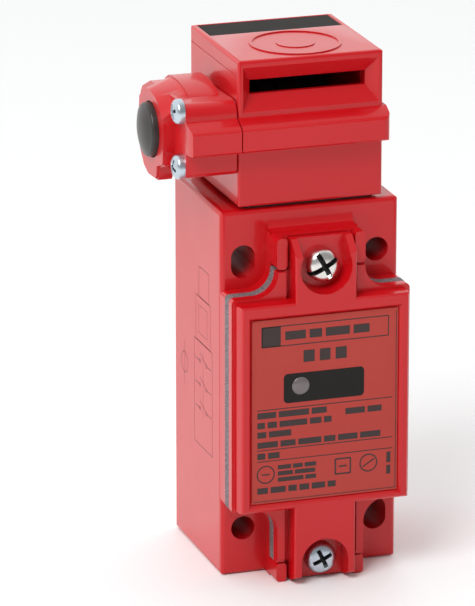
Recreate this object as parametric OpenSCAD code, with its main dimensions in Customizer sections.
// Key-operated safety limit switch with a side release button.
// Millimetres.  +X right, +Y towards the mounting wall, +Z up.
// The origin is the centre of the four fixing holes, on the mounting face.

/* [Body] */
// Width of the body and cover
body_w = 40; // [39:0.5:42]
// Depth from the mounting face to the fixing lugs
body_d = 32.5; // [32:0.1:34]
// Height of the body's bottom face below the origin
body_low = 40.5; // [40:0.1:42]
// Height of the body's top face above the origin
body_high = 41.4; // [41:0.1:41.6]
// Thickness of the cast walls
wall = 3; // [2.5:0.1:3.1]

/* [Fixing] */
// Spacing of the fixing holes across the body
fix_x = 30; // [29.5:0.1:30.5]
// Spacing of the fixing holes along the body
fix_z = 60; // [59.5:0.1:60.5]
// Diameter of the fixing holes
fix_d = 5.3; // [4.5:0.1:5.6]
// End-to-end length of the two elongated holes
fix_slot = 7.3; // [6:0.1:8]
// Wall radius of the tapped cable entry
entry_r = 9.1; // [7:0.1:9.4]

/* [Cover] */
// Depth from the mounting face to the gasket
pad_y = 35.4; // [35:0.1:35.6]
// Thickness of the cover gasket
gasket_t = 2.6; // [2.4:0.1:2.8]
// Thickness of the cover's flange
flange_t = 2.3; // [2:0.1:2.4]
// Depth from the mounting face to the front of the cover
front_y = 43.4; // [43.2:0.1:44]
// Height of the upper cover screw above the origin
screw_up = 30.3; // [30.3:0.1:30.8]
// Height of the lower cover screw below the origin
screw_down = 35.7; // [35.5:0.1:36]

/* [Head] */
// Half width of the head
head_hw = 16.2; // [16:0.1:16.4]
// Depth of the head's front face
head_y = 32.8; // [32.6:0.1:33]
// Height of the head's top face above the origin
head_high = 74; // [73.8:0.1:74.4]
// Length of the key slot's mouth
mouth_w = 30.2; // [29.5:0.1:30.6]
// Length of the key slot
key_w = 25.8; // [25:0.1:26]
// Height of the key slot
key_t = 3.1; // [3:0.1:3.3]

/* [Motion] */
// Travel of the release button
press = 3; // [2:0.1:3]
// Lift of the push rod when the key is in
lift = 3; // [2:0.1:3]
// Turn of the cam when the key is in
cam_turn = 50; // [45:1:60]

/* [Hidden] */
$fn = 64;
eps = 0.01;

// Paint, metal and moulding colours
red = [0.78, 0.12, 0.14];
label_red = [0.72, 0.27, 0.25];
black = [0.12, 0.12, 0.12];
grey = [0.45, 0.45, 0.46];
steel = [0.75, 0.75, 0.77];
brass = [0.80, 0.66, 0.35];
amber = [0.55, 0.5, 0.45];

// Outline of the seal between body and cover
half_w = body_w / 2;
seal_low = 23.8;
seal_high = 24.1;
neck_hw = 9.9;
neck_high = 29.4;
neck_low = 36;
cove_r = 5;
bore_hw = 16.9;
bore_low = 21.3;
bore_high = 21.6;
throat_hw = 7;
throat_h = 26;

// Cast saddles that hold the ends of the cover
ear_y = 40;
saddle_high = 36.6;
ledge_r = 2.4;
draft = 0.1;
saddle_floor_y = 37.7;
saddle_gap_hw = 7.6;
ear_low = 36.3;

// Cover
flange_y = pad_y + gasket_t + flange_t;
cover_back = pad_y + gasket_t;
lug_hw = 6.85;
pocket_y = 41;
label_hw = 16.5;
label_low = 21.2;
label_high = 20;
label_floor = front_y - 0.9;
label_face = front_y - 0.6;
cover_screw_r = 2;
screw_bowl_r = 5.3;
retainer_r = 3.4;
screw_floor = 39.3;
led_x = -5.5;
led_z = 4.6;
board_post_x = 8.4;
board_post_z = 8.4;

// Head
axis_y = 16.4;
head_low = body_high + 0.6;
band_low = 54.9;
band_high = 60.1;
band_top = 61.8;
band_y = 36.2;
band_hw = 16.9;
chamber_hw = 12.8;
chamber_low = 46.3;
chamber_high = 71;
cam_z = 56.3;
stem_window_r = 6.8;
key_z = 67.65;
mouth_h = 9.7;
mouth_deep = 2.4;
top_key_y = 5.6;
top_mouth = 10;
head_screw_at = 6.2;

// Side housing, measured outwards from the middle of the head
gasket_x = 16.45;
step_x = 27.7;
end_x = 30.3;
slope_x = 24.8;
cup_r = 5.85;
cup_bore_r = 6.1;
stem_r = 2.5;
housing_screws_at = [[-29.9, 63.5], [-29.9, 51.5], [-5, 58.5], [-5, 51.3]];
screw_pocket_r = [5.2, 5.2, 3.1, 3.1];
screw_seat_x = [step_x, step_x, step_x - 1.5, step_x - 1.5];

// Cam
cam_r = 8.6;
key_wheel_r = 9.5;
cam_gap = 0.3;
axle_r = 1.5;
bush_r = 2.6;
rod_r = 3;
rod_tip_r = 1.5;
rod_tip_z = cam_z - cam_r - cam_gap;
pawl_y = -27;
pawl_z = 50.3;

// Contact block
block_hw = 14.5;
block_back = wall;
block_front = 27;
block_low = -9;
block_high = 19;
pole_pitch = 9.5;
beam_low = 2;
beam_high = 8;
bridge_z = 6;
strip_t = 0.8;
terminal_z = [14, -4.6];
hollow_low = -6.4;
lid_low = -2.4;
lid_high = 12;
block_screw_x = 5;
block_screw_z = 16.7;

// ---------- helpers ----------

// A rectangle from corner to corner, with round corners of radius r
module plate2d(x0, x1, y0, y1, r) {
    translate([x0 + r, y0]) square([x1 - x0 - 2 * r, y1 - y0]);
    translate([x0, y0 + r]) square([x1 - x0, y1 - y0 - 2 * r]);
    for (x = [x0 + r, x1 - r], y = [y0 + r, y1 - r]) translate([x, y]) circle(r);
}

// Carries an outline in X and Z forwards, from depth a to depth b
module forward(a, b) {
    translate([0, -a, 0]) rotate([90, 0, 0]) linear_extrude(b - a) children();
}

// Carries an outline in Y and Z along X, from x0 to x1
module across(x0, x1) {
    translate([x0, 0, 0]) rotate([90, 0, 90]) linear_extrude(x1 - x0) children();
}

// Carries an outline in X and Y upwards, from z0 to z1
module upward(z0, z1) {
    translate([0, 0, z0]) linear_extrude(z1 - z0) children();
}

// A block with all its edges round
module soft_block(x0, x1, y0, y1, z0, z1, r) {
    intersection() {
        upward(z0, z1) plate2d(x0, x1, y0, y1, r);
        across(x0, x1) plate2d(y0, y1, z0, z1, r);
        forward(-y1, -y0) plate2d(x0, x1, z0, z1, r);
    }
}

// A box from corner to corner
module box(x0, x1, y0, y1, z0, z1) {
    translate([x0, y0, z0]) cube([x1 - x0, y1 - y0, z1 - z0]);
}

// A cylinder whose axis runs forwards, from depth a to depth b
module rod_y(x, z, r, a, b) {
    translate([x, -a, z]) rotate([90, 0, 0]) cylinder(h = b - a, r = r);
}

// A cylinder whose axis runs along X
module rod_x(y, z, r, x0, x1) {
    translate([x0, y, z]) rotate([0, 90, 0]) cylinder(h = x1 - x0, r = r);
}

// A cylinder whose axis runs up
module rod_z(x, y, r, z0, z1) {
    translate([x, y, z0]) cylinder(h = z1 - z0, r = r);
}

// A round wire wound about the Z axis from z = 0 to z = h, with flat ends
module coil(r, wire_r, turns, h) {
    steps = 14;
    sides = 6;
    n = round(turns * steps);
    rise = h - 2 * wire_r;
    points = [for (i = [0:n], k = [0:sides - 1])
        let (a = 360 * turns * i / n, c = r + wire_r * cos(360 * k / sides))
        [c * cos(a), c * sin(a), wire_r + rise * i / n + wire_r * sin(360 * k / sides)]];
    skin = [for (i = [0:n - 1], k = [0:sides - 1])
        [i * sides + k, (i + 1) * sides + k,
         (i + 1) * sides + (k + 1) % sides, i * sides + (k + 1) % sides]];
    start = [[for (k = [0:sides - 1]) k]];
    finish = [[for (k = [0:sides - 1]) n * sides + sides - 1 - k]];
    polyhedron(points, concat(start, skin, finish));
}

// A pan-head screw along -Z: head above z = 0, shank below, cross recess in the head
module pan_screw(head_r, head_h, shank_r, shank_l, recess = 0.7, slot = false) {
    dome = head_r * 0.72;
    difference() {
        rotate_extrude() polygon([
            [0, 0], [head_r, 0], [head_r, head_h * 0.45], [head_r * 0.95, head_h * 0.68],
            [head_r * 0.85, head_h * 0.86], [dome, head_h * 0.96], [0, head_h]]);
        for (a = [0, 90]) rotate([0, 0, a]) translate([0, 0, head_h])
            cube([head_r * 1.05, head_r * 0.26, head_h * recess * 2], center = true);
        if (slot) translate([0, 0, head_h]) cube([head_r * 3, head_r * 0.26, head_h * 0.7], center = true);
    }
    translate([0, 0, -shank_l]) cylinder(h = shank_l + eps, r = shank_r);
}

// One concave corner between the wide middle and a neck of the seal
module cove2d(z, side) {
    difference() {
        translate([neck_hw - eps, side > 0 ? z - eps : z - cove_r]) square(cove_r + eps);
        translate([neck_hw + cove_r, z + side * cove_r]) circle(cove_r);
    }
}

// Outline of pad, gasket and cover: a wide middle and two necks
module seal2d(top = neck_high, bottom = neck_low, hw = half_w) {
    plate2d(-hw, hw, -seal_low, seal_high, 1);
    translate([-neck_hw, -bottom]) square([2 * neck_hw, top + bottom]);
    for (s = [0, 1]) mirror([s, 0]) {
        cove2d(seal_high, 1);
        cove2d(-seal_low, -1);
    }
}

// Opening inside the seal
module mouth2d() {
    plate2d(-bore_hw, bore_hw, -bore_low, bore_high, 2);
    plate2d(-throat_hw, throat_hw, -throat_h, throat_h, 1.5);
}

// ---------- body ----------

module fixing_holes() {
    slot_h = fix_slot - fix_d;
    for (s = [1, -1]) {
        rod_y(s * fix_x / 2, s * fix_z / 2, fix_d / 2, -1, ear_y + 5);
        for (dz = [-slot_h / 2, slot_h / 2])
            rod_y(-s * fix_x / 2, s * fix_z / 2 + dz, fix_d / 2, -1, ear_y + 5);
        box(-s * fix_x / 2 - fix_d / 2, -s * fix_x / 2 + fix_d / 2, -ear_y - 5, 1,
            s * fix_z / 2 - slot_h / 2, s * fix_z / 2 + slot_h / 2);
    }
}

module saddles() {
    side = neck_hw - saddle_gap_hw;
    // upper saddle: a floor between two ears
    forward(body_d - 1, saddle_floor_y)
        plate2d(-neck_hw + draft, neck_hw - draft, neck_high + 0.4, saddle_high, 0.8);
    for (s = [0, 1]) mirror([s, 0]) {
        forward(body_d - 1, ear_y)
            plate2d(saddle_gap_hw, saddle_gap_hw + side, neck_high + 0.4, saddle_high, 0.8);
        forward(body_d - 1, ear_y)
            plate2d(saddle_gap_hw, saddle_gap_hw + side, draft / 2 - body_low, -ear_low, 0.8);
    }
    // lower saddle
    forward(body_d - 1, saddle_floor_y)
        plate2d(-neck_hw + draft, neck_hw - draft, draft / 2 - body_low, -ear_low, 0.8);
}

module body() {
    color(red) difference() {
        union() {
            soft_block(-half_w, half_w, -body_d, 0, -body_low, body_high, 1.2);
            forward(body_d - 1, pad_y) seal2d(saddle_high - 0.1, body_low - draft, half_w - draft);
            saddles();
            // fillet between the front face and the ledge over the upper saddle
            across(-neck_hw + 0.4, neck_hw - 0.4) polygon(concat(
                [for (a = [0:15:90]) [-body_d - ledge_r * (1 - sin(a)), saddle_high + ledge_r * (1 - cos(a))]],
                [[-body_d + 1, saddle_high + ledge_r], [-body_d + 1, saddle_high - 1],
                 [-body_d - ledge_r, saddle_high - 1]]));
        }
        // wiring chamber and its throat behind the necks
        forward(wall, pad_y + 1) plate2d(-bore_hw, bore_hw, -bore_low, bore_high, 2);
        forward(wall + 4, pad_y + 1) plate2d(-throat_hw, throat_hw, -throat_h, throat_h, 1.5);
        // well under the head, for the push rod and the head screws
        box(-8.8, 8.8, -27, -4, bore_high - 1, 37);
        rod_z(0, -axis_y, rod_r + 0.05, 36, body_high + 1);
        rod_z(0, -axis_y, 5.1, body_high - 2.1, body_high + 1);
        for (a = [45:90:315]) translate([0, -axis_y, 0]) rotate([0, 0, a])
            rod_z(head_screw_at * sqrt(2), 0, 1.7, 36, body_high + 1);
        // tapped holes of the cover screws
        rod_y(0, screw_up, cover_screw_r + 0.05, 28, ear_y);
        rod_y(0, -screw_down, cover_screw_r + 0.05, 28, ear_y);
        // cable entry with a chamfered mouth
        rod_z(0, -axis_y + 0.15, entry_r, -body_low - 1, -bore_low + 1);
        translate([0, -axis_y + 0.15, -body_low - eps]) rotate_extrude()
            polygon([[0, -1], [entry_r + 2.2, -1], [entry_r + 1.2, 0], [entry_r, 1.2], [0, 1.2]]);
        fixing_holes();
        // holes of the block screws and the earth screw, in the back wall
        for (x = [-block_screw_x, block_screw_x]) rod_y(x, block_screw_z, 1.25, 0.8, wall + 1);
        rod_y(-12.4, -16.6, 1.75, 0.8, wall + 1);
    }
}

module cover_gasket() {
    color(grey) forward(pad_y, pad_y + gasket_t) difference() {
        seal2d();
        mouth2d();
        for (z = [screw_up, -screw_down]) translate([0, z]) circle(cover_screw_r + 0.6);
    }
}

// ---------- cover ----------

// Front shape of the cover over its flange: label frame, upper tower and lower lug
module cover_front() {
    // frame, with sides that lean in
    intersection() {
        forward(flange_y - 0.5, front_y) plate2d(-19.3, 19.3, -23.3, 23.3, 0.9);
        upward(-30, 30) polygon([
            [-19.3, -flange_y + 1], [-19.3, -flange_y], [-18.8, -front_y + 0.4], [-18.4, -front_y],
            [18.4, -front_y], [18.8, -front_y + 0.4], [19.3, -flange_y], [19.3, -flange_y + 1]]);
        across(-half_w, half_w) polygon([
            [-flange_y + 1, -23.3], [-flange_y, -23.3], [-front_y + 0.4, -22.9], [-front_y, -22.5],
            [-front_y, 22.7], [-front_y + 0.4, 23.1], [-flange_y, 23.3], [-flange_y + 1, 23.3]]);
    }
    // tower and lug, with slanted ends and rounded long edges
    intersection() {
        across(-lug_hw, lug_hw) polygon([
            [-cover_back, -40.1], [-40.2, -40.1], [-front_y + 0.3, -38.9], [-front_y, -38.5],
            [-front_y, 33.2], [-40, 36.3], [-cover_back, 36.3]]);
        upward(-45, 45) plate2d(-lug_hw, lug_hw, -front_y, -cover_back + 2, 0.5);
    }
}

module label_recess() {
    intersection() {
        forward(label_floor, front_y + 1) square([2 * label_hw + 3, 60], center = true);
        upward(-label_low - 2, label_high + 2) polygon([
            [-label_hw, -label_floor], [-label_hw - 0.7, -front_y - eps], [label_hw + 0.7, -front_y - eps],
            [label_hw, -label_floor]]);
        across(-label_hw - 1, label_hw + 1) polygon([
            [-label_floor, -label_low], [-front_y - eps, -label_low - 0.7],
            [-front_y - eps, label_high + 0.7], [-label_floor, label_high]]);
    }
}

module cover() {
    // posts of the lamp board
    color(red) for (x = [-board_post_x, board_post_x]) {
        rod_y(x, board_post_z, 1.6, pocket_y - 2, pocket_y + eps);
        rod_y(x, board_post_z, 0.75, pocket_y - 3.1, pocket_y - 1.9);
    }
    color(red) difference() {
        union() {
            forward(cover_back, flange_y - 0.4) seal2d();
            // softened front edge of the flange
            forward(flange_y - 0.5, flange_y) intersection() {
                translate([0, 0.2]) scale([0.985, 0.988]) seal2d();
                seal2d();
            }
            cover_front();
        }
        label_recess();
        // hollow behind the label
        forward(cover_back - 1, pocket_y) plate2d(-16, 16, -20.4, 20.4, 1.5);
        // lamp window
        rod_y(led_x, led_z, 2.1, pocket_y - 1, front_y + 1);
        // bowls of the two screws, open to the ends
        translate([0, -screw_floor, screw_up]) rotate([90, 0, 0])
            cylinder(h = 5.1, r1 = screw_bowl_r - 0.3, r2 = screw_bowl_r + 0.7);
        box(-screw_bowl_r, screw_bowl_r, -front_y - 1, -screw_floor, screw_up, 45);
        rod_y(0, -screw_down, screw_bowl_r, screw_floor, front_y + 1);
        box(-screw_bowl_r, screw_bowl_r, -front_y - 1, -screw_floor, -45, -screw_down);
        for (z = [screw_up, -screw_down]) {
            rod_y(0, z, cover_screw_r + 0.2, cover_back - 1, front_y);
            rod_y(0, z, retainer_r + 0.05, cover_back - 1, cover_back + 0.9);
        }
        // grooves beside the tower and the lug
        for (s = [-1, 1]) {
            box(s * 7.4 - 0.55, s * 7.4 + 0.55, -flange_y - 1, -flange_y + 1.4, 23.3, 45);
            box(s * 7.5 - 0.65, s * 7.5 + 0.65, -flange_y - 1, -flange_y + 1.4, -45, -23.3);
        }
    }
}

module cover_screw(z) {
    translate([0, -screw_floor, z]) rotate([90, 25, 0])
        pan_screw(3.45, z > 0 ? 3.4 : 2.7, cover_screw_r, 10.8, slot = z > 0);
}

module cover_screw_upper() {
    color(steel) cover_screw(screw_up);
}

module cover_screw_lower() {
    color(steel) cover_screw(-screw_down);
}

// Rings that keep the screws in the cover, let into its back
module screw_retainers() {
    color(black) for (z = [screw_up, -screw_down]) difference() {
        rod_y(0, z, retainer_r, cover_back + 0.3, cover_back + 0.9);
        rod_y(0, z, cover_screw_r, cover_back, cover_back + 1);
    }
}

module label_plate() {
    color(label_red) difference() {
        forward(label_floor, label_face)
            plate2d(-label_hw + 0.1, label_hw - 0.1, -label_low + 0.1, label_high - 0.1, 0.4);
        rod_y(led_x, led_z, 2.1, label_floor - 1, label_face + 1);
    }
}

module led_lens() {
    color(amber) translate([led_x, -pocket_y + 0.6, led_z]) rotate([90, 0, 0]) rotate_extrude()
        polygon([[0, 0], [2.6, 0], [2.6, 0.6], [2, 0.6], [2, 2.5], [1.6, 2.75], [1, 2.9], [0, 3]]);
}

module led_board() {
    color([0.1, 0.35, 0.2]) forward(pocket_y - 3.2, pocket_y - 2) difference() {
        plate2d(-10, 10, -1, 10, 1);
        for (x = [-board_post_x, board_post_x]) translate([x, board_post_z]) circle(0.8);
    }
    color(black) box(4, 8, -pocket_y + 0.6, -pocket_y + 2, 2, 7);
    color(amber) rod_y(led_x, led_z, 1.5, pocket_y - 2, pocket_y - 0.7);
}

// ---------- head ----------

// Frustum that widens towards the outside of a key slot: half sizes a, b outside, c, d inside
module mouth(a, b, c, d, deep) {
    intersection() {
        rotate([90, 0, 0]) linear_extrude(2 * b, center = true)
            polygon([[-a, eps], [a, eps], [c, -deep], [-c, -deep]]);
        rotate([90, 0, 90]) linear_extrude(2 * a, center = true)
            polygon([[-b, eps], [b, eps], [d, -deep], [-d, -deep]]);
    }
}

module head_band() {
    intersection() {
        across(-head_hw, band_hw) polygon([
            [-0.4, band_low], [-band_y + 0.4, band_low], [-band_y, band_low + 0.4],
            [-band_y, band_high - 0.5], [-band_y + 0.5, band_high + 0.15],
            [-head_y, band_top], [-0.4, band_top]]);
        upward(band_low - 1, band_top + 1) difference() {
            translate([-head_hw, -band_y]) square([head_hw + band_hw, band_y]);
            translate([band_hw - 1.6, -band_y]) difference() {
                translate([0, -1]) square(2.6);
                translate([0, 1.6]) circle(1.6);
            }
        }
    }
}

module head() {
    color(red) difference() {
        union() {
            soft_block(-head_hw, head_hw, -head_y, -0.1, head_low, band_low + 2, 0.8);
            soft_block(-head_hw, head_hw, -head_y, -0.1, band_top - 4, head_high, 0.8);
            head_band();
            // plain raised ring on the top face
            translate([0.3, -21.6, head_high - 0.5]) difference() {
                cylinder(h = 0.75, r = 9.9);
                translate([0, 0, -1]) cylinder(h = 3, r = 9.2);
            }
            translate([0.3, -21.6, head_high - 0.5]) cylinder(h = 0.68, r = 4.2);
        }
        // cam chamber, and the window that the button's stem goes in by
        box(-chamber_hw, chamber_hw, -head_y + 3.5, -2.9, chamber_low, chamber_high);
        rod_x(-axis_y, cam_z, stem_window_r, -head_hw - 1, -chamber_hw + 1);
        // front key slot with its mouth
        box(-key_w / 2, key_w / 2, -head_y - 1, -head_y + 5, key_z - key_t / 2, key_z + key_t / 2);
        translate([0, -head_y, key_z]) rotate([90, 0, 0])
            mouth(mouth_w / 2, mouth_h / 2, key_w / 2, key_t / 2, mouth_deep);
        // top key slot with its mouth
        box(-key_w / 2, key_w / 2, -top_key_y - key_t / 2, -top_key_y + key_t / 2,
            chamber_high - 1, head_high + 1);
        translate([0, -top_key_y, head_high])
            mouth(mouth_w / 2, top_mouth / 2, key_w / 2, key_t / 2, mouth_deep);
        // parting groove round the top of the sides
        for (s = [-1, 1]) box(s * head_hw - 0.12, s * head_hw + 0.12, -head_y + 1, -1,
            head_high - 3.45, head_high - 3.25);
        // push rod, head screws, cam axle, pawl pin and housing screws
        rod_z(0, -axis_y, rod_r + 0.25, head_low - 1, chamber_low + 1);
        for (a = [45:90:315]) translate([0, -axis_y, 0]) rotate([0, 0, a])
            rod_z(head_screw_at * sqrt(2), 0, 1.55, head_low - 1, chamber_low - 0.8);
        rod_x(-axis_y, cam_z, axle_r + 0.01, chamber_hw - 1, chamber_hw + 2.4);
        rod_x(pawl_y, pawl_z, 1.01, -chamber_hw - 1.1, -chamber_hw + 1);
        for (p = housing_screws_at) rod_x(p[0], p[1], 1.55, -head_hw - 1, -chamber_hw - 1.4);
    }
}

module head_gasket() {
    color(black) upward(body_high, head_low) difference() {
        plate2d(-14.8, 14.8, -axis_y - 14.8, -axis_y + 14.8, 1.5);
        translate([0, -axis_y]) circle(5.2);
        for (a = [45:90:315]) translate([0, -axis_y]) rotate(a)
            translate([head_screw_at * sqrt(2), 0]) circle(1.7);
    }
}

module head_screws() {
    color(steel) for (a = [45:90:315]) translate([0, -axis_y, 37]) rotate([0, 0, a])
        translate([head_screw_at * sqrt(2), 0, 0]) rotate([180, 0, 0]) pan_screw(2.5, 2, 1.5, 8.2);
}

// ---------- side housing ----------

// Section of the barrel below its hump, in Y and Z
module barrel2d() {
    polygon([
        [-30.2, 65.3], [-31.2, 65.1], [-32, 64.5], [-32.6, 63.7], [-32.8, 62.8], [-32.8, band_top],
        [-band_y + 0.5, band_high + 0.15], [-band_y, band_high - 0.5], [-band_y, band_low + 0.4],
        [-band_y + 0.4, band_low], [-32.8, band_low], [-32.8, 50.3], [-32.2, 49.6], [-31.2, 49.2],
        [-9, 48], [-2, 48], [-1, 49], [-1, 60.5], [-2.2, 62], [-8, 64.6]]);
}

// Section of the hump over the barrel
module hump2d() {
    polygon([[-26.2, 64.6], [-25.6, 65.2], [-24.6, 65.8], [-21.6, 66.6], [-18.5, 67], [-14, 67],
             [-11.5, 66.5], [-9.2, 65.3], [-8, 64]]);
}

// Section of the end block round the button
module end2d() {
    polygon([
        [-25.2, 59.6], [-25.2, 51], [-24.6, 50.2], [-20.7, 48.9], [-20.3, 46.6], [-19.8, 45.9],
        [-14.5, 45.6], [-11.2, 46.8], [-8.6, 49.6], [-7.6, 52], [-7.6, 59.7], [-8.9, 61.5],
        [-10.5, 62.9], [-13.3, 64], [-16.3, 64.1], [-19.4, 63.5], [-21.6, 62.4], [-23.6, 60.9]]);
}

module button_housing() {
    color(red) difference() {
        union() {
            // barrel, with the band's end cut at an angle
            intersection() {
                across(-step_x, -gasket_x) barrel2d();
                upward(40, 70) polygon([
                    [-gasket_x, 0], [-gasket_x, -band_y], [-step_x + 0.5, -band_y],
                    [-step_x, -band_y + 2.4], [-step_x, 0]]);
            }
            // hump, with a slanted inner end
            intersection() {
                across(-slope_x, -18) hump2d();
                forward(0, 40) polygon([[-18.6, 60], [-18, 61], [-18, 66.3], [-18.5, 70],
                    [-slope_x, 70], [-slope_x, 60]]);
            }
            // slope from the hump down to the end block
            hull() {
                across(-slope_x + 0.6, -slope_x + 0.7) polygon([
                    [-25.1, 57.7], [-25.2, 65.1], [-24.4, 65.6], [-23.3, 65.95], [-21.5, 66.42],
                    [-18.4, 66.83], [-14.1, 66.84], [-11.7, 66.3], [-9.5, 65.1], [-8.4, 63.9], [-8.3, 57.8]]);
                across(-end_x, -end_x + 0.1) polygon([
                    [-24.7, 58.1], [-24.75, 60.6], [-23.8, 61.5], [-22.8, 62.35], [-21.55, 63.15],
                    [-19.4, 64.15], [-16, 64.8], [-13.2, 64.55], [-10.2, 63.3], [-8.3, 61.5], [-7.95, 58.2]]);
            }
            across(-end_x + 0.5, -step_x + 1) end2d();
            across(-end_x, -end_x + 0.6) translate([-16.4, 56]) scale([0.955, 0.96])
                translate([16.4, -56]) end2d();
        }
        // pockets round the heads of the screws
        for (i = [0:3]) {
            p = housing_screws_at[i];
            rod_x(p[0], p[1], screw_pocket_r[i], -end_x - 1, -screw_seat_x[i]);
            rod_x(p[0], p[1], 1.65, -step_x - 1, -gasket_x + 1);
        }
        // bore of the button, groove of its seal, guide of its stem and chamber of its clip
        rod_x(-axis_y, cam_z, cup_bore_r, -end_x - 1, press - 24.6);
        rod_x(-axis_y, cam_z, 7, -27.6, -26.4);
        rod_x(-axis_y, cam_z, stem_r + 0.06, -23, -19);
        rod_x(-axis_y, cam_z, 7, -20, -gasket_x + 1);
    }
}

module housing_gasket() {
    color(black) difference() {
        rod_x(-axis_y, cam_z, 7.9, -gasket_x, -head_hw);
        rod_x(-axis_y, cam_z, 7, -gasket_x - 1, -head_hw + 1);
    }
}

module housing_screws() {
    color(steel) for (i = [0:3])
        translate([-screw_seat_x[i], housing_screws_at[i][0], housing_screws_at[i][1]])
            rotate([0, -90, 0]) pan_screw(2.7, 2.1, 1.5, 13.3 - step_x + screw_seat_x[i]);
}

module release_button() {
    color(black) {
        // domed cup
        translate([-32.2, -axis_y, cam_z]) rotate([0, 90, 0]) rotate_extrude() polygon([
            [0, -0.55], [1.6, -0.52], [3.1, -0.4], [4.4, -0.16], [5.3, 0.18], [cup_r - 0.12, 0.6],
            [cup_r, 1], [cup_r, 6.8], [4.6, 6.8], [4.6, 1.2], [0, 1.2]]);
        // stem, bored for the end of the cam axle
        difference() {
            rod_x(-axis_y, cam_z, stem_r, -31.5, -14.6);
            rod_x(-axis_y, cam_z, axle_r + 0.08, -19.6, -14);
            difference() {
                rod_x(-axis_y, cam_z, stem_r + 1, -19.7, -18.9);
                rod_x(-axis_y, cam_z, 2, -20, -18);
            }
        }
    }
}

module button_clip() {
    color(steel) difference() {
        rod_x(-axis_y, cam_z, 4, -19.65, -18.95);
        rod_x(-axis_y, cam_z, 2, -20, -18);
        box(-20, -18, -axis_y - 1.5, -axis_y + 1.5, cam_z, cam_z + 6);
    }
}

module button_seal() {
    color(black) translate([-27, -axis_y, cam_z]) rotate([0, 90, 0]) rotate_extrude()
        translate([6.45, 0]) circle(0.5, $fn = 24);
}

module button_spring() {
    color(steel) translate([-30.98, -axis_y, cam_z]) rotate([0, 90, 0]) coil(3.6, 0.4, 4.5, 9.36);
}

// Plug of the unused key slot
module blanking_plug() {
    color(black) {
        translate([0, -top_key_y, head_high - 0.15])
            mouth(mouth_w / 2 - 0.3, top_mouth / 2 - 0.35, key_w / 2 - 0.1, key_t / 2 - 0.1, mouth_deep - 0.35);
        box(-key_w / 2 + 0.1, key_w / 2 - 0.1, -top_key_y - key_t / 2 + 0.1,
            -top_key_y + key_t / 2 - 0.1, chamber_high - 0.3, head_high - mouth_deep + 0.3);
    }
}

// ---------- cam and lock ----------

// Cam profile: the radius falls evenly behind the lowest point, so the rod rises as the cam turns
module cam2d() {
    low = cam_r - lift;
    flank = [for (i = [0:10]) let (a = cam_turn * i / 10, r = cam_r - lift * i / 10)
        [r * sin(a), -r * cos(a)]];
    toe = [for (a = [cam_turn + 8, cam_turn + 20]) [low * sin(a), -low * cos(a)]];
    back = [for (i = [0:24]) let (a = cam_turn + 26 + (346 - cam_turn - 26) * i / 24)
        [cam_r * sin(a), -cam_r * cos(a)]];
    polygon(concat(flank, toe, back));
}

// Key wheel: two notches, one for the front key and one for the top key
module key_wheel2d() {
    difference() {
        circle(key_wheel_r);
        for (a = [2, -88]) rotate(a) translate([-1.9, key_wheel_r - 2.9]) square([3.8, 4]);
    }
}

// Locking disc: its rim is cut away where the pawl lies
module lock_disc2d() {
    difference() {
        circle(cam_r);
        difference() {
            intersection() {
                circle(cam_r + 1);
                polygon([for (a = [186, 205, 225, 245, 265, 280, 292]) 20 * [cos(a), sin(a)], [0, 0]]);
            }
            circle(cam_r - 2);
        }
    }
}

module cam_drum() {
    color(black) translate([0, -axis_y, cam_z]) difference() {
        union() {
            across(-3.2, 3.2) cam2d();
            across(-7.8, -4.2) key_wheel2d();
            across(4.2, 7.8) key_wheel2d();
            across(-10.4, -8.8) lock_disc2d();
            across(-10.4, 9) circle(4.6);
        }
        rod_x(0, 0, bush_r, -11, 10);
    }
}

module cam_bushes() {
    color(brass) for (x = [-10.4, 5]) difference() {
        rod_x(-axis_y, cam_z, bush_r, x, x + 4);
        rod_x(-axis_y, cam_z, axle_r + 0.05, x - 1, x + 5);
    }
}

module cam_axle() {
    color(steel) rod_x(-axis_y, cam_z, axle_r, -13.4, chamber_hw + 2.3);
}

module cam_spring() {
    color(steel) translate([9.4, -axis_y, cam_z]) rotate([0, 90, 0]) coil(3, 0.4, 3.25, 3.2);
}

module lock_pawl() {
    color(steel) across(-10.3, -8.9) difference() {
        union() {
            translate([pawl_y, pawl_z]) circle(2);
            polygon([[pawl_y - 1.2, pawl_z + 1.2], [pawl_y + 0.6, pawl_z - 1.8],
                     [pawl_y + 3.9, pawl_z + 0.9], [pawl_y + 3.4, pawl_z + 2.4]]);
        }
        translate([pawl_y, pawl_z]) circle(1.05);
    }
}

module pawl_pin() {
    color(steel) rod_x(pawl_y, pawl_z, 1, -chamber_hw - 1, -8.4);
}

module push_rod() {
    color([0.85, 0.85, 0.8]) translate([0, -axis_y, 0]) {
        rod_z(0, 0, rod_r, 21.9, rod_tip_z - 4);
        rod_z(0, 0, 4.4, 32.4, 33.6);
        translate([0, 0, rod_tip_z - 4.01]) rotate_extrude() polygon([
            [0, 0], [rod_r, 0], [rod_r - 0.4, 0.6], [rod_tip_r, 1.6], [rod_tip_r, 2.5],
            [1.3, 3.26], [0.75, 3.81], [0, 4.01]]);
    }
}

module rod_seal() {
    color(black) translate([0, -axis_y, body_high - 2.1]) difference() {
        cylinder(h = 2, r = 5);
        translate([0, 0, -1]) cylinder(h = 4, r = rod_r + 0.08);
    }
}

// ---------- contact block ----------

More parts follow.
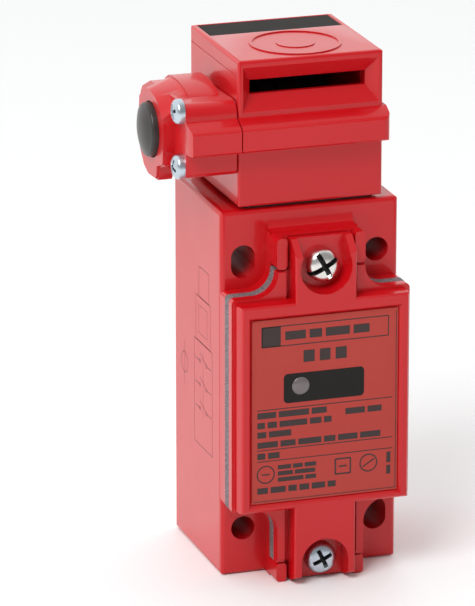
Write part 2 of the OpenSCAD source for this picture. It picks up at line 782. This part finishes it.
module contact_block() {
    color([0.25, 0.27, 0.3]) difference() {
        soft_block(-block_hw, block_hw, -block_front, -block_back, block_low, block_high, 0.6);
        // hollow of the contact carrier, its front opening and the rebate of the lid
        box(-12.8, 12.8, -block_front + 3.8, -7.6, hollow_low, lid_high + 0.4);
        box(-12.8, 12.8, -block_front - 1, -block_front + 4, lid_low + 0.8, lid_high - 0.7);
        box(-13.6, 13.6, -block_front - 1, -block_front + 1.5, lid_low, lid_high);
        rod_z(0, -axis_y, stem_r + 0.06, lid_high, block_high + 1);
        for (x = [-1, 0, 1]) translate([x * pole_pitch, 0, 0]) {
            // passages of the back strips, and the terminal screw holes
            box(-1.6, 1.6, -7.7, -6.3, -8.3, lid_high - 0.8);
            box(-1.6, 1.6, -block_front - 1, -6.3, -8.3, -7.3);
            for (z = terminal_z) rod_y(0, z, 1.25, block_front - 3.9, block_front + 1);
        }
        for (x = [-block_screw_x, block_screw_x]) {
            rod_y(x, block_screw_z, 2.2, block_back + 4, block_front + 1);
            rod_y(x, block_screw_z, 1.4, block_back - 1, block_front);
        }
    }
}

module contact_block_lid() {
    color([0.3, 0.33, 0.36]) forward(block_front - 1.5, block_front) difference() {
        plate2d(-13.5, 13.5, lid_low + 0.1, lid_high - 0.1, 0.6);
        for (x = [-1, 0, 1]) translate([x * pole_pitch, 0]) {
            translate([-0.6, 1]) square([1.2, 5]);
            // notch for the front strip
            translate([-1.6, lid_high - 1.8]) square([3.2, 3]);
        }
    }
}

module contact_carrier() {
    color([0.9, 0.88, 0.8]) translate([0, -axis_y, 0]) difference() {
        union() {
            rod_z(0, 0, stem_r, beam_high - 1, 21.7);
            rod_z(0, 0, 1.6, -4.2, beam_low + 1);
            box(-12.2, 12.2, -2.1, 2.1, beam_low, beam_high);
        }
        for (x = [-1, 0, 1]) box(x * pole_pitch - 1.75, x * pole_pitch + 1.75, -4, 4, 3, 6.9);
    }
}

module moving_contacts() {
    color(brass) for (x = [-1, 0, 1]) translate([x * pole_pitch, -axis_y, bridge_z]) {
        box(-1.5, 1.5, -5.6, 5.6, 0, strip_t);
        for (y = [-4.5, 4.5]) rod_z(0, y, 1, strip_t - eps, strip_t + 0.4);
    }
}

module contact_springs() {
    color(steel) for (x = [-1, 0, 1]) translate([x * pole_pitch, -axis_y, 3.02]) coil(1, 0.2, 3.5, 2.94);
}

module carrier_spring() {
    color(steel) translate([0, -axis_y, hollow_low + 0.02]) coil(2.4, 0.35, 5.5, beam_low - hollow_low - 0.04);
}

// Six bent strips: the front ones rise to the upper terminals, the back ones run round to the lower
module fixed_contacts() {
    high = bridge_z + strip_t + 0.4 + lift + 0.1;
    tab = block_front + 0.8;
    color(brass) for (x = [-1, 0, 1]) translate([x * pole_pitch, 0, 0]) difference() {
        union() {
            across(-1.5, 1.5) polygon([
                [-19.4, high], [-19.4, high + strip_t], [-tab + strip_t, high + strip_t],
                [-tab + strip_t, 17], [-tab, 17], [-tab, high]]);
            across(-1.5, 1.5) polygon([
                [-13.4, high], [-13.4, high + strip_t], [-6.4, high + strip_t], [-6.4, -8.2],
                [-tab, -8.2], [-tab, -1.6], [-tab + strip_t, -1.6], [-tab + strip_t, -7.4],
                [-7.2, -7.4], [-7.2, high]]);
        }
        for (z = terminal_z) rod_y(0, z, 1.25, block_front - 1, tab + 1);
    }
}

module terminal_screws() {
    color(steel) for (x = [-1, 0, 1], z = terminal_z)
        translate([x * pole_pitch, -block_front - 1.7, z]) rotate([90, 10 * x, 0])
            pan_screw(2.2, 1.6, 1.2, 5.5);
}

module terminal_clamps() {
    color(steel) for (x = [-1, 0, 1], z = terminal_z) translate([x * pole_pitch, 0, z])
        forward(block_front + 0.8, block_front + 1.7) difference() {
            square([4.4, 4.6], center = true);
            circle(1.3);
        }
}

module block_screws() {
    color(steel) for (x = [-block_screw_x, block_screw_x])
        translate([x, -block_back - 4, block_screw_z]) rotate([90, 30, 0]) pan_screw(2, 1.6, 1.2, 6);
}

module earth_screw() {
    color(brass) translate([-12.4, -wall - 1, -16.6]) rotate([90, 0, 0]) pan_screw(3, 2, 1.7, 3);
}

module earth_clamp() {
    color(brass) translate([-12.4, 0, -16.6]) forward(wall, wall + 1) difference() {
        square(6.6, center = true);
        circle(1.8);
    }
}

body();
cover_gasket();
cover();
cover_screw_upper();
cover_screw_lower();
screw_retainers();
label_plate();
led_lens();
led_board();
head();
head_gasket();
head_screws();
button_housing();
housing_gasket();
housing_screws();
release_button();
button_clip();
button_seal();
button_spring();
blanking_plug();
cam_drum();
cam_axle();
cam_bushes();
cam_spring();
lock_pawl();
pawl_pin();
push_rod();
rod_seal();
contact_block();
contact_block_lid();
contact_carrier();
moving_contacts();
contact_springs();
carrier_spring();
fixed_contacts();
terminal_screws();
terminal_clamps();
block_screws();
earth_screw();
earth_clamp();
